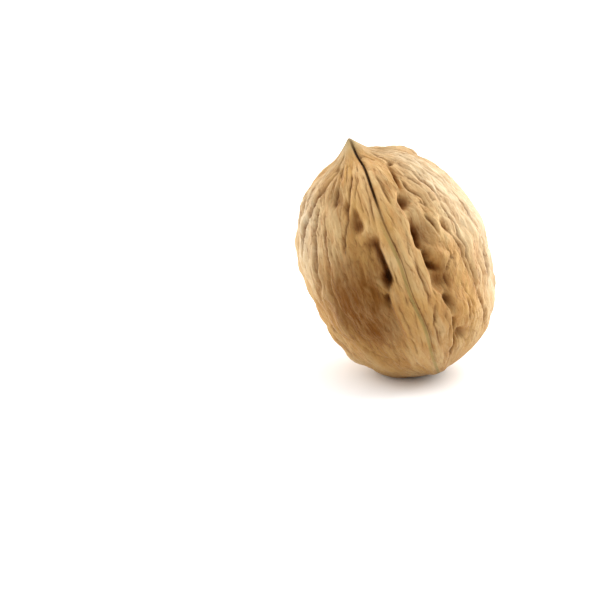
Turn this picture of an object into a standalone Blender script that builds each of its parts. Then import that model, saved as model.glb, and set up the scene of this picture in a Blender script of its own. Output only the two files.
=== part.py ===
"""A whole walnut in its shell, standing on its blunt end and leaning over a little.

The shell grew as one piece, so it is one solid. Its form is a sphere whose points are moved by formula:
a long rounded body, a pointed tip, a raised band where the two halves of the shell meet, hollows along
that band, and long ribs with creases between them. The shell is worked out upright, with its axis on Z
and the front of its seam towards -Y, then turned, leant over and cut off level where it stands.
"""

import itertools
import math

import bmesh
import bpy
import numpy as np
from mathutils import Vector

MM = 0.001

# Driving dimensions, in millimetres. Lopsided is how much wider the right cheek is than the left, as a
# share of the radius, and base taper how much the last few millimetres above the base draw in. The tip's
# half sizes are across the seam and along it, and within the pole radius all relief dies away.
BODY_LENGTH = 41.5
TIP_RISE = 2.3
TIP_BLUNTNESS = 0.25
TIP_HALF_SIZES = (1.3, 2.3)
TIP_LEANING = 0.6
TIP_LEANING_RADIUS = 3.0
SIDE_RADIUS = 15.9
FRONT_RADIUS = 15.6
ROUNDNESS = 2.15
LOPSIDED = 0.02
BASE_TAPER = 0.06
BASE_TAPER_HEIGHTS = (9, 0)
BASE_SCAR = 0.6
BASE_SCAR_RADIUS = 1.8
POLE_RADIUS = 2.5

# How it stands: the turn about its own axis, then the lean back and the lean to its left, in degrees, and
# how high the middle of the body is above the surface that it stands on. The level block cuts it there.
TURN = 8.0
LEAN_BACK = -6.6
LEAN_LEFT = -21.7
HEART_HEIGHT = 19.6
LEVEL_BLOCK = 60.0

# The mesh: columns round the shell, rings from tip to base, how much they crowd at seam and tip, and the
# share of its triangles that is kept where the relief needs them.
COLUMNS = 320
RINGS = 180
KEPT_SHARE = 0.099
SEAM_CROWDING = 0.2
TIP_CROWDING = 1.2

# The seam and the raised band on it, in millimetres. The edges are height up the shell and distance from
# the seam to the band's edge, on the side of the left cheek and of the right cheek as seen from the front.
# The moats are height and depth of the trough at the foot of each edge.
SEAM_SHIFT = 0.2
SEAM_SWAY = 0.15
SEAM_SWAY_LENGTH = 12.0
SEAM_BY_TIP = 0.75
SEAM_BY_TIP_REACHES = ((12.5, 6.5), (0, 6))
SEAM_BY_TIP_ABOVE = 30
SEAM_OFF_POLES = (0.4, 2.5)
SEAM_PULL_TURN = 0.7
SEAM_PULL_RADIUS = 3.0
BAND_LEFT = ((0, 1.6), (8, 3.4), (14, 3.9), (18.3, 3.7), (20, 3.1), (21.4, 2.15), (24.7, 2.25), (26.8, 2.2),
             (28.8, 1.7), (32.8, 2), (37, 1.6), (44, 0.8))
BAND_RIGHT = ((0, 1), (2.6, 1.4), (4.8, 2.4), (7.3, 3.7), (10, 4.3), (13.8, 4.4), (15.9, 4.2), (17.6, 3.6),
              (19.5, 3.8), (22, 3.75), (23.9, 3.65), (25.2, 3.2), (27, 3.5), (28.9, 3.9), (30.6, 3.6),
              (33.1, 3.45), (34.4, 4.25), (36, 4), (37.2, 4.2), (38.7, 3.6), (41, 2.2), (44, 1))
BAND_RISE = 1.25
BAND_RISE_AT_ENDS = 0.3
BAND_EDGE = 0.2
SOFT_LEFT_EDGE = 1.4
SOFT_RIGHT_EDGE = 0.85
MOAT_WIDTH = 0.85
MOAT_FOOT = (-0.25, 0.35)
LEFT_MOAT = ((0, 0), (8, 0.3), (16, 0.6), (19.5, 0.7), (22, 1.3), (26, 1.3), (29, 0.9), (30, 0.1), (34, 0))
RIGHT_MOAT = ((0, 0), (8, 0.4), (16, 0.4), (18, 0.7), (20.5, 1), (21.6, 1.3), (23.2, 0.9), (24.2, 0),
              (25, 1.1), (27, 1.5), (29, 1), (31, 0.3), (33, 1.1), (37, 0.9), (41, 0))
GROOVE_WIDTH = 0.32
GROOVE_DEPTH = 0.9
CLOSED_GROOVE_DEPTH = 0.35
LIP_RISE = 0.2
LIP_WIDTH = 0.5

# Where things set in along the seam, as pairs of heights: the edges going soft towards the tip, the band
# rising from both ends, the groove, its opening towards the tip, and its lips.
LEFT_EDGE_SOFTENS = (28, 34)
RIGHT_EDGE_SOFTENS = (35, 40)
BAND_RISES = ((0, 12), (43.5, 33.5))
GROOVE_SETS_IN = (1, 8)
GROOVE_OPENS = (26, 35)
LIPS_SET_IN = (2, 10)

# Hollows and lumps that can be told apart: height up the shell in mm, turn round from the front of the
# seam in degrees, half length and half width in mm, depth in mm (a lump's is negative), slant in degrees.
HOLLOWS = (
    (33.9, -16.6, 0.9, 0.5, 0.6, 0),
    (32.4, -17.4, 1.5, 1.1, 1.3, 8),
    (31.5, -16.0, 0.9, 0.9, 0.8, 0),
    (32.6, -13.0, 1.6, 0.5, -0.3, -8),
    (29.9, -13.8, 0.6, 1.2, -0.6, -20),
    (28.4, -11.4, 1.0, 1.3, 1.4, 0),
    (26.4, -12.4, 2.2, 1.7, 0.5, 0),
    (26.0, -9.2, 2.0, 0.45, 1.0, -3),
    (23.6, -9.2, 1.6, 0.45, 1.2, -3),
    (21.7, -10.8, 1.5, 0.8, 2.3, 0),
    (18.4, -14.6, 0.9, 0.6, 1.3, 0),
    (36.5, -31.5, 1.6, 1.3, 0.7, 14),
    (35.0, -22.5, 1.4, 0.7, 0.8, 10),
    (38.6, 37.0, 0.5, 0.55, 1.6, 0),
    (36.6, 26.5, 1.9, 0.5, 1.9, 16),
    (34.3, 17.6, 0.6, 0.6, 1.4, 0),
    (32.3, 18.6, 1.3, 1.6, 1.6, 0),
    (27.0, 15.4, 2.0, 0.8, 1.6, 8),
    (26.9, 20.5, 1.9, 2.0, 0.8, 0),
    (24.9, 14.8, 0.5, 0.6, 1.0, 0),
    (24.4, 19.0, 0.4, 1.4, -0.4, 30),
    (23.1, 16.6, 1.0, 0.7, 1.6, 10),
    (22.4, 23.4, 1.1, 2.2, -1.1, 35),
    (21.0, 18.6, 0.65, 1.7, 1.9, 42),
    (18.6, 19.6, 1.3, 1.3, 0.8, 0),
    (16.4, 19.0, 0.7, 0.9, -0.5, 0),
    (14.3, 18.8, 0.9, 0.45, 1.3, 5),
    (13.0, 25.5, 2.4, 2.2, -0.9, 0),
    (10.4, 20.0, 0.5, 0.45, 1.5, 0),
    (7.4, 26.5, 1.0, 1.2, 1.2, 0),
    (25.9, 37.8, 1.3, 0.32, 1.2, -15),
    (20.0, 43.5, 1.0, 0.5, 0.8, 0),
    (16.2, 47.5, 1.2, 0.5, 0.9, 0),
    (18.5, -38.0, 6.0, 5.0, -0.5, 0),
    (36.0, 93.0, 7.0, 7.0, 0.5, 0),
    (4.5, 72.0, 5.0, 6.0, -0.5, 0),
    (2.6, -98.0, 3.0, 5.0, -0.6, 0),
)
HOLLOW_STEEPNESS = 1.4
HOLLOW_REACH_INWARDS = 3.0
HOLLOW_ON_BAND = 0.1

# The back's hollows are drawn by a seed: two of three lie close to the seam. Each pair is the least and
# the most: degrees away from the back of the seam, height, half width and depth in mm, and slant.
BACK_HOLLOWS = 24
BACK_SEED = 11
BACK_TURNS_BY_SEAM = (15, 22)
BACK_TURNS_ON_CHEEKS = (30, 95)
BACK_HEIGHTS = (6, 37)
BACK_HALF_WIDTHS = (0.8, 1.6)
BACK_DEPTHS_BY_SEAM = (0.8, 1.6)
BACK_DEPTHS_ON_CHEEKS = (0.4, 0.8)
BACK_STRETCH = (1.1, 1.7)
BACK_SLANTS = (-20, 20)

# The longest creases between ribs: half width and depth in mm, then points of height and turn.
CREASES = (
    (0.6, 0.8, (41.1, -42), (40.3, -45), (38.4, -52), (35.9, -61), (33, -70), (25, -76)),
    (0.5, 0.8, (36.4, -50), (34.6, -53), (32.6, -57), (29.5, -58), (20, -60)),
    (0.4, 0.5, (35, -42), (33.8, -44), (31, -45), (24, -48)),
    (0.45, 0.5, (40.8, -28), (39, -26), (37.9, -31), (36.4, -34), (34.6, -33)),
    (0.35, 0.5, (40.4, -10), (38.6, -13), (36.6, -18), (35, -23), (32.9, -25), (29.5, -30), (26.9, -35)),
    (0.3, 0.35, (39.3, 3), (36.7, -2), (33.7, -4), (30.8, -6), (28.8, -7)),
    (0.4, 0.5, (41, 44), (40, 37), (38.8, 37)),
    (0.35, 0.4, (36, 30), (33.6, 31), (31.6, 33), (29.6, 33)),
    (0.35, 0.5, (24.6, 40), (22, 42), (19, 42), (15.5, 43)),
    (0.4, 0.5, (30.5, 28), (27.7, 30), (25, 30)),
    (0.4, 0.6, (38, 44), (33, 46), (28.5, 44), (24, 47), (18, 46), (15, 47), (12, 46)),
    (0.4, 0.5, (39, 62), (36, 62), (33.5, 56)),
    (0.5, 0.6, (37.5, 70), (33, 68), (27, 66), (22, 70), (16, 63), (9, 66)),
    (0.35, 0.5, (21.5, 34), (18.5, 25), (16, 24)),
    (0.35, 0.5, (13.5, 34), (9, 34)),
    (0.4, 0.6, (13.5, 47), (8, 54), (5, 60)),
    (0.4, 0.7, (11, 21), (7.6, 20.5), (5.5, 18), (2.8, 12)),
    (0.35, 0.35, (39, 14), (37, 11), (34.7, 9), (32, 10)),
    (0.3, 0.3, (24, 9), (20, 8), (16.5, 8)),
    (0.35, 0.4, (16, 11), (12, 6), (7, 6)),
    (0.3, 0.3, (23.4, -5), (16, -4)),
)
STEPS_PER_MARK = 14
RUN_OUT = 0.16
SIDE_SWELL = 0.4
SIDE_REACH = 2.6

# Long ribs, with a valley wherever a stretched and wavering noise crosses nought: noise cells over the
# radius, a cell's length up the shell in mm, depth in mm, the valley's width as a share of a cell, and seed.
# They are calmer beside the front of the seam, where creases are drawn one by one.
RIBS = ((4.6, 10.0, 0.7, 0.18, 3), (9.5, 7.0, 0.32, 0.13, 4), (15, 4.0, 0.2, 0.12, 5))
RIB_LIFT = 0.4
RIB_STRENGTH = 0.7
RIB_STRENGTH_VARIES = 0.6
RIB_STRENGTH_CELLS = (2, 10, 40)
CALM_FRONT = 0.45
CALMED_RIB_DEPTH = 0.3
CALM_FRONT_TURN = 1.1
RIBS_OFF_SEAM = (1, 5)
RIBS_ON_BAND = 0.2
RIBS_OFF_POLES = 6.0
RIBS_OFF_BASE = (1, 6)

# Other noises, each by its cells over the radius, a cell's length up the shell in mm, and its seed: the ribs'
# wavering, with its bend in turn and in height, and their flutter; and the slow swell and the lumps, in mm.
WAVER_CELLS = (1.6, 14, 21)
WAVER_BEND = 0.2
WAVER_RISE = 3.0
FLUTTER_CELLS = (6, 3.2, 27)
FLUTTER_BEND = 0.035
SWELL_CELLS = (2.6, 9, 23)
SWELL = 0.5
LUMP_CELLS = (5.6, 3.8, 29)
LUMPS = 0.34
NOISE_GAIN = 1.6

# The finish of the solid.
SHELL_COLOUR = (0.62, 0.42, 0.24)
SHELL_ROUGHNESS = 0.62


def smooth_step(value, low, high):
    """0 below low and 1 above high, with an even slope between."""
    share = np.clip((value - low) / (high - low), 0, 1)
    return share * share * (3 - 2 * share)


def blend(first, second, share):
    return first * (1 - share) + second * share


def bell(value, width):
    return np.exp(-np.square(value / width))


def edge_at(height, outline):
    """The distance at each height from a short list of heights and distances, rounded off between them."""
    heights, distances = np.array(outline, float).T
    place = np.clip(np.searchsorted(heights, height, side="right") - 1, 0, len(heights) - 2)
    share = smooth_step(height, heights[place], heights[place + 1])
    return blend(distances[place], distances[place + 1], share)


def gradient_noise(points, seed):
    """Smooth noise, about -1 to 1: each whole-number corner has a random slope, blended across its cell."""
    draw = np.random.default_rng(seed)
    order = draw.permutation(256)
    slopes = draw.normal(size=(256, 3))
    slopes /= np.linalg.norm(slopes, axis=1, keepdims=True)
    cell = np.floor(points).astype(int)
    inside = points - cell
    fade = inside**3 * (inside * (inside * 6 - 15) + 10)
    total = 0
    for corner in itertools.product((0, 1), repeat=3):
        at = cell + corner
        pick = order[at[..., 0] & 255]
        pick = order[(pick + at[..., 1]) & 255]
        pick = order[(pick + at[..., 2]) & 255]
        weight = np.prod(np.where(corner, fade, 1 - fade), axis=-1)
        total = total + weight * (slopes[pick] * (inside - corner)).sum(-1)
    return NOISE_GAIN * total


def noise_round_shell(turn, height, cells, length, seed):
    """Noise that closes on itself round the shell, stretched up it."""
    ring = np.stack([np.cos(turn), np.sin(turn)], -1) * cells
    return gradient_noise(np.concatenate([ring, height[..., None] / length], -1), seed)


def plain_body(polar, turn):
    """Points of the body without relief, and the way out from each: a long rounded form, squarer than an
    ellipsoid. polar runs from 0 at the tip to pi at the base, turn from 0 at the front of the seam."""
    power = 2 / ROUNDNESS
    spread = np.abs(np.sin(polar)) ** power
    rise = np.sign(np.cos(polar)) * np.abs(np.cos(polar)) ** power
    half = BODY_LENGTH / 2
    height = half + half * rise
    radius = (1 + LOPSIDED * np.sin(turn)) / np.hypot(np.cos(turn) / FRONT_RADIUS, np.sin(turn) / SIDE_RADIUS)
    radius = radius * spread * (1 - BASE_TAPER * smooth_step(height, *BASE_TAPER_HEIGHTS))
    points = np.stack([radius * np.sin(turn), -radius * np.cos(turn), height], -1)
    outward = (points - [0, 0, half]) / np.square([SIDE_RADIUS, FRONT_RADIUS, half])
    return points, outward / np.linalg.norm(outward, axis=-1, keepdims=True)


def point_on_body(height, turn):
    """The point of the plain body at a height in mm and a turn in degrees, and the way out from it."""
    rise = np.clip(2 * np.asarray(height) / BODY_LENGTH - 1, -1, 1)
    polar = np.arccos(np.sign(rise) * np.abs(rise) ** (ROUNDNESS / 2))
    return plain_body(polar, np.radians(turn))


def seam_line(points):
    """How far the seam strays sideways at each point's height, and on the front of the tip, by its reach."""
    reach = np.hypot(points[..., 0], points[..., 1])
    outer, inner = SEAM_BY_TIP_REACHES
    by_tip = smooth_step(reach, *outer) * smooth_step(reach, *inner)
    by_tip = by_tip * (points[..., 1] < 0) * (points[..., 2] > SEAM_BY_TIP_ABOVE)
    sway = SEAM_SWAY * np.cos(2 * np.pi * points[..., 2] / SEAM_SWAY_LENGTH)
    return SEAM_SHIFT + sway + SEAM_BY_TIP * by_tip


def falling_edge(beyond, width):
    """1 well before an edge, 0 well beyond it, and a smooth slope of that width across it."""
    return 0.5 - 0.5 * np.tanh(beyond / (2 * width))


def foot_of_band(beyond):
    """The moat's share of its depth: steep at the foot of the band, then dying away from it."""
    return smooth_step(beyond, *MOAT_FOOT) * np.exp(-np.maximum(beyond, 0) / MOAT_WIDTH)


def seam_band(points):
    """The raised band over both seams: a flat top between two steep edges, a moat at its foot, a groove on
    the seam and a rounded lip on each side of it. Gives the relief, how far each point is on top of the
    band, from 0 to 1, and its distance across from the seam."""
    height = points[..., 2]
    reach = np.hypot(points[..., 0], points[..., 1])
    across = (points[..., 0] - seam_line(points)) * np.sign(-points[..., 1])
    left, right = edge_at(height, BAND_LEFT), edge_at(height, BAND_RIGHT)
    left_edge = blend(BAND_EDGE, SOFT_LEFT_EDGE, smooth_step(height, *LEFT_EDGE_SOFTENS))
    right_edge = blend(BAND_EDGE, SOFT_RIGHT_EDGE, smooth_step(height, *RIGHT_EDGE_SOFTENS))
    top = falling_edge(-across - left, left_edge) * falling_edge(across - right, right_edge)
    off_ends = smooth_step(height, *BAND_RISES[0]) * smooth_step(height, *BAND_RISES[1])
    moat = foot_of_band(across - right) * edge_at(height, RIGHT_MOAT)
    moat = moat + foot_of_band(-across - left) * edge_at(height, LEFT_MOAT)
    groove = bell(across, GROOVE_WIDTH) * smooth_step(height, *GROOVE_SETS_IN)
    groove = groove * blend(CLOSED_GROOVE_DEPTH, GROOVE_DEPTH, smooth_step(height, *GROOVE_OPENS))
    lips = bell(across - 2 * LIP_WIDTH, LIP_WIDTH) + bell(across + 2 * LIP_WIDTH, LIP_WIDTH)
    lips = LIP_RISE * lips * smooth_step(height, *LIPS_SET_IN)
    band = blend(BAND_RISE_AT_ENDS, BAND_RISE, off_ends) * top - moat
    return band + (lips - groove) * smooth_step(reach, *SEAM_OFF_POLES), top, across


def hollow_at(points, hollow):
    """One hollow or lump: an oval dent, its middle and its own directions taken from the plain body. It ends
    inwards too, so that it does not show on the far side."""
    height, turn, half_length, half_width, depth, slant = hollow
    middle, outward = point_on_body(height, turn)
    turn, slant = math.radians(turn), math.radians(slant)
    sideways = np.array([math.cos(turn), math.sin(turn), 0])
    upward = np.cross(outward, sideways)
    along = math.cos(slant) * upward + math.sin(slant) * sideways
    beside = math.cos(slant) * sideways - math.sin(slant) * upward
    away = points - middle
    inward = away @ outward / (HOLLOW_REACH_INWARDS * max(half_length, half_width))
    oval = np.square(away @ along / half_length) + np.square(away @ beside / half_width) + np.square(inward)
    return -depth * np.exp(-(oval**HOLLOW_STEEPNESS))


def crease_at(points, crease):
    """One crease: a valley along the line through its marks, running out at both ends, with its sides a
    little swollen. The line is followed in steps, and each point takes its distance from the nearest."""
    half_width, depth, *marks = crease
    heights, turns = np.array(marks, float).T
    steps = np.linspace(0, len(marks) - 1, STEPS_PER_MARK * len(marks))
    path, _ = point_on_body(*(np.interp(steps, range(len(marks)), values) for values in (heights, turns)))
    apart = np.full(points.shape[:-1], np.inf)
    strength = np.zeros(points.shape[:-1])
    for share, spot in zip(steps / steps[-1], path):
        distance = np.linalg.norm(points - spot, axis=-1)
        strength = np.where(distance < apart, min(1, share / RUN_OUT, (1 - share) / RUN_OUT), strength)
        apart = np.minimum(distance, apart)
    swollen = SIDE_SWELL * bell(apart, SIDE_REACH * half_width)
    return depth * strength * (swollen - (1 + SIDE_SWELL) * bell(apart, half_width))


def back_hollows():
    """Hollows on the sides away from the front, drawn by a seed: most lie along the seam at the back."""
    draw = np.random.default_rng(BACK_SEED)
    lowest, highest = BACK_HEIGHTS
    found = []
    for number in range(BACK_HOLLOWS):
        by_seam = number % 3 > 0
        side = 1 if number % 2 else -1
        turn = 180 + side * draw.uniform(*(BACK_TURNS_BY_SEAM if by_seam else BACK_TURNS_ON_CHEEKS))
        height = lowest + (highest - lowest) * (number + draw.uniform(0, 1)) / BACK_HOLLOWS
        width = draw.uniform(*BACK_HALF_WIDTHS)
        depth = draw.uniform(*(BACK_DEPTHS_BY_SEAM if by_seam else BACK_DEPTHS_ON_CHEEKS))
        length = width * draw.uniform(*BACK_STRETCH)
        found.append((height, turn, length, width, depth, draw.uniform(*BACK_SLANTS)))
    return found


def ribs(turn, height):
    """Long ribs between valleys, on a slow swell and small lumps."""
    waver = noise_round_shell(turn, height, *WAVER_CELLS)
    flutter = noise_round_shell(turn, height, *FLUTTER_CELLS)
    bent_turn = turn + WAVER_BEND * waver + FLUTTER_BEND * flutter
    relief = SWELL * noise_round_shell(turn, height, *SWELL_CELLS)
    relief = relief + LUMPS * noise_round_shell(bent_turn, height, *LUMP_CELLS)
    calm = 1 - CALM_FRONT * bell(turn, CALM_FRONT_TURN)
    cells_of_strength, length_of_strength, first_seed = RIB_STRENGTH_CELLS
    for cells, length, depth, share, seed in RIBS:
        wave = noise_round_shell(bent_turn, height + WAVER_RISE * waver, cells, length, seed)
        varies = noise_round_shell(turn, height, cells_of_strength, length_of_strength, seed + first_seed)
        strength = RIB_STRENGTH + RIB_STRENGTH_VARIES * varies
        strength = strength * (calm if depth > CALMED_RIB_DEPTH else 1)
        relief = relief - depth * strength * (np.exp(-np.abs(wave) / share) - RIB_LIFT)
    return relief


def shell_points(polar, turn):
    """Points of the finished shell, upright, in millimetres."""
    points, outward = plain_body(polar, turn)
    height, radius = points[..., 2], np.hypot(points[..., 0], points[..., 1])
    front = bell(turn, SEAM_PULL_TURN)
    back = bell(np.abs(turn) - np.pi, SEAM_PULL_TURN)
    turn = turn + seam_line(points) / np.maximum(radius, SEAM_PULL_RADIUS) * (front - back)
    points, outward = plain_body(polar, turn)
    relief, on_band, across = seam_band(points)
    off_band = smooth_step(np.abs(across), *RIBS_OFF_SEAM)
    off_ends = smooth_step(radius, 0, RIBS_OFF_POLES) * smooth_step(height, *RIBS_OFF_BASE)
    relief = relief + ribs(turn, height) * blend(RIBS_ON_BAND, 1, off_band) * off_ends
    for hollow in (*HOLLOWS, *back_hollows()):
        relief = relief + hollow_at(points, hollow) * blend(1, HOLLOW_ON_BAND, on_band)
    for crease in CREASES:
        relief = relief + crease_at(points, crease)
    relief = relief * smooth_step(radius, 0, POLE_RADIUS)
    upper = height > BODY_LENGTH / 2
    from_tip = np.hypot(points[..., 0] / TIP_HALF_SIZES[0], points[..., 1] / TIP_HALF_SIZES[1])
    tip = np.exp(TIP_BLUNTNESS - np.hypot(from_tip, TIP_BLUNTNESS)) * upper
    points = points + outward * relief[..., None]
    points[..., 2] += TIP_RISE * tip + BASE_SCAR * bell(radius, BASE_SCAR_RADIUS) * ~upper
    points[..., 0] += TIP_LEANING * bell(radius, TIP_LEANING_RADIUS) * upper
    return points


def shape_shell(mesh):
    """Moves the points of a unit sphere to the shell, with more columns by the seam and rings by the tip."""
    points = np.empty(len(mesh.vertices) * 3)
    mesh.vertices.foreach_get("co", points)
    x, y, z = points.reshape(-1, 3).T
    turn = np.arctan2(x, -y)
    turn = turn - SEAM_CROWDING * np.sin(2 * turn)
    polar = np.pi * (np.arccos(np.clip(z, -1, 1)) / np.pi) ** TIP_CROWDING
    mesh.vertices.foreach_set("co", (shell_points(polar, turn) * MM).ravel())


def make_material(name, colour, roughness):
    material = bpy.data.materials.new(name)
    material.use_nodes = True
    surface = material.node_tree.nodes["Principled BSDF"]
    surface.inputs["Base Color"].default_value = (*colour, 1)
    surface.inputs["Roughness"].default_value = roughness
    surface.inputs["Metallic"].default_value = 0
    return material


def make_collection(name):
    collection = bpy.data.collections.new(name)
    bpy.context.scene.collection.children.link(collection)
    return collection


def make_sphere_object(name, collection):
    mesh = bpy.data.meshes.new(name)
    sphere = bmesh.new()
    bmesh.ops.create_uvsphere(sphere, u_segments=COLUMNS, v_segments=RINGS, radius=1)
    sphere.to_mesh(mesh)
    sphere.free()
    made = bpy.data.objects.new(name, mesh)
    collection.objects.link(made)
    return made


def make_level_cutter(collection):
    """A block whose top is the surface that the walnut stands on."""
    side = LEVEL_BLOCK * MM
    mesh = bpy.data.meshes.new("level_cutter")
    block = bmesh.new()
    bmesh.ops.create_cube(block, size=side)
    block.to_mesh(mesh)
    block.free()
    cutter = bpy.data.objects.new("level_cutter", mesh)
    cutter.location = (0, 0, -side / 2)
    cutter.hide_render = True
    cutter.display_type = "WIRE"
    collection.objects.link(cutter)
    return cutter


def stand_and_lean(shell):
    """Puts the middle of the body straight above the origin, with the shell turned and leant over."""
    shell.rotation_mode = "ZXY"
    shell.rotation_euler = [math.radians(angle) for angle in (LEAN_BACK, LEAN_LEFT, TURN)]
    middle = shell.rotation_euler.to_matrix() @ Vector((0, 0, BODY_LENGTH / 2 * MM))
    shell.location = Vector((0, 0, HEART_HEIGHT * MM)) - middle


def main():
    for old in list(bpy.data.objects):
        bpy.data.objects.remove(old)
    parts, cutters = make_collection("walnut"), make_collection("cutters")
    shell = make_sphere_object("walnut_shell", parts)
    shape_shell(shell.data)
    shell.data.materials.append(make_material("walnut_shell", SHELL_COLOUR, SHELL_ROUGHNESS))
    stand_and_lean(shell)
    thinning = shell.modifiers.new("thinning", "DECIMATE")
    thinning.ratio = KEPT_SHARE
    level = shell.modifiers.new("level_spot", "BOOLEAN")
    level.operation = "DIFFERENCE"
    level.object = make_level_cutter(cutters)
    shell.data.shade_smooth()


main()
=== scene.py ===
"""A whole walnut in its shell on a pale studio floor.

The shell is one surface worked out on a grid: a long rounded body, a pointed tip, a raised band over the
seam, hollows beside it, and long ribs with creases between them. Its finish is a dry, matt nutshell.
"""

import itertools
import math

import bpy
import numpy as np
from mathutils import Matrix, Vector


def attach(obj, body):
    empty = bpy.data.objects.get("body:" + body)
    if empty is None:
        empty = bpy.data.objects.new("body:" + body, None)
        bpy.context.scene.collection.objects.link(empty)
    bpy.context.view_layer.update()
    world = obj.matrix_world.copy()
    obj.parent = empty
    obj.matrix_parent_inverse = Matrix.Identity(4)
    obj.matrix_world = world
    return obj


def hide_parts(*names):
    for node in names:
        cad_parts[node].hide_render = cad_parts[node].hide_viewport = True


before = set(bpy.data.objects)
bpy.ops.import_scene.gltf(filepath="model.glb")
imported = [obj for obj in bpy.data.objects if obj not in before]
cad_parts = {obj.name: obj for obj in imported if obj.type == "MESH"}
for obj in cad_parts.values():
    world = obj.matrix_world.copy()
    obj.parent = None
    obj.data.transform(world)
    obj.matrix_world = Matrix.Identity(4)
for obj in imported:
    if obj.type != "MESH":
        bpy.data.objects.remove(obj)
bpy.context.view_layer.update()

bl_info = {
    "name": "Walnut",
    "version": (1, 0, 0),
    "blender": (4, 5, 0),
    "location": "3D View > Sidebar > Walnut",
    "description": "A whole walnut in its shell, with a studio floor, lights and camera",
    "category": "Object",
}

MM = 0.001

# How the walnut stands, as in the frame: its turn about its own axis, its lean back and its lean to the
# left, in degrees. The shell is shaped upright, in millimetres, and then turned and leant by these.
TURN = 8.0
LEAN_BACK = -6.6
LEAN_LEFT = -21.7

# The body beyond its main sizes, lengths in mm: its squareness, the share by which the right cheek is wider
# and the left one narrower, the share by which it draws in down to the base, the scar there, and the beak:
# its half sizes across the seam and along it, how blunt it is, how far it leans, and how far its shoulders
# are drawn in. Within the pole radius the rest of the relief dies away.
ROUNDNESS = 2.15
LOPSIDED = 0.02
BASE_TAPER = 0.06
BASE_TAPER_HEIGHTS = (9, 0)
BASE_SCAR = 0.6
BASE_SCAR_RADIUS = 1.8
TIP_HALF_SIZES = (1.3, 2.3)
TIP_BLUNTNESS = 0.45
TIP_LEANING = 0.6
TIP_LEANING_RADIUS = 3
SHOULDER_DIP = 0.6
SHOULDER_REACH = 4.8
SHOULDER_WIDTH = 2.7
POLE_RADIUS = 2.5

# The surface's grid: columns round the shell, rings from tip to base, how much they crowd to the seam and
# the tip, and how near the axis the two poles are worked out, in radians.
COLUMNS = 440
RINGS = 222
SEAM_CROWDING = 0.2
TIP_CROWDING = 1.2
POLE_ANGLE = 1e-6

# The seam's line, in mm: how far it is shifted and sways, and how far it strays on the front of the tip,
# between which reaches from the axis and above which height. The columns are pulled to it over a turn in
# radians, and within the last radius no more than at it.
SEAM_SHIFT = 0.2
SEAM_SWAY = 0.15
SEAM_SWAY_LENGTH = 12.0
SEAM_BY_TIP = 0.75
SEAM_BY_TIP_REACHES = ((12.5, 6.5), (0, 6))
SEAM_BY_TIP_ABOVE = 30
SEAM_PULL_TURN = 0.7
SEAM_PULL_RADIUS = 3

# The raised band on the seam, in mm. Its edges are heights and distances from the seam, on the left
# and on the right as one faces it, and the moats are heights and depths of the trough at their foot.
BAND_LEFT = ((0, 1.6), (8, 3.4), (14, 3.9), (18.3, 3.7), (20, 3.1), (21.4, 2.15), (24.7, 2.25), (26.8, 2.2),
             (28.8, 1.7), (32.8, 2), (37, 1.6), (44, 0.8))
BAND_RIGHT = ((0, 1), (2.6, 1.4), (4.8, 2.4), (7.3, 3.7), (10, 4.3), (13.8, 4.4), (15.9, 4.2), (17.6, 3.6),
              (19.5, 3.8), (22, 3.75), (23.9, 3.65), (25.2, 3.2), (27, 3.5), (28.9, 3.9), (30.6, 3.6),
              (33.1, 3.45), (34.4, 4.25), (36, 4), (37.2, 4.2), (38.7, 3.6), (41, 2.2), (44, 1))
BAND_RISE_AT_ENDS = 0.3
BAND_EDGE = 0.16
SOFT_LEFT_EDGE = 1.4
SOFT_RIGHT_EDGE = 0.85
MOAT_WIDTH = 0.85
MOAT_FOOT = (-0.25, 0.35)
LEFT_MOAT = ((0, 0), (8, 0.3), (16, 0.6), (19.5, 0.7), (22, 1.3), (26, 1.3), (29, 0.9), (30, 0.1), (34, 0))
RIGHT_MOAT = ((0, 0), (8, 0.4), (16, 0.4), (18, 0.7), (20.5, 1), (21.6, 1.3), (23.2, 0.9), (24.2, 0),
              (25, 1.1), (27, 1.5), (29, 1), (31, 0.3), (33, 1.1), (37, 0.9), (41, 0))
CLOSED_GROOVE_SHARE = 0.4
LIP_RISE = 0.2
LIP_WIDTH = 0.5

# Where things set in along the seam, as pairs of heights: the edges going soft towards the tip, the band
# rising from the base, and from the tip downwards, the groove, its opening towards the tip, and its lips.
# The last two pairs are distances from the axis at which the groove and its lips set in.
LEFT_EDGE_SOFTENS = (28, 34)
RIGHT_EDGE_SOFTENS = (35, 40)
BAND_RISES_FROM_BASE = (0, 12)
BAND_RISES_FROM_TIP = (-2, 8)
GROOVE_SETS_IN = (1, 8)
GROOVE_OPENS = (31, 36)
LIPS_SET_IN = (2, 10)
GROOVE_OFF_POLES = (0.4, 1.6)
LIPS_OFF_POLES = (1, 3)

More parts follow.
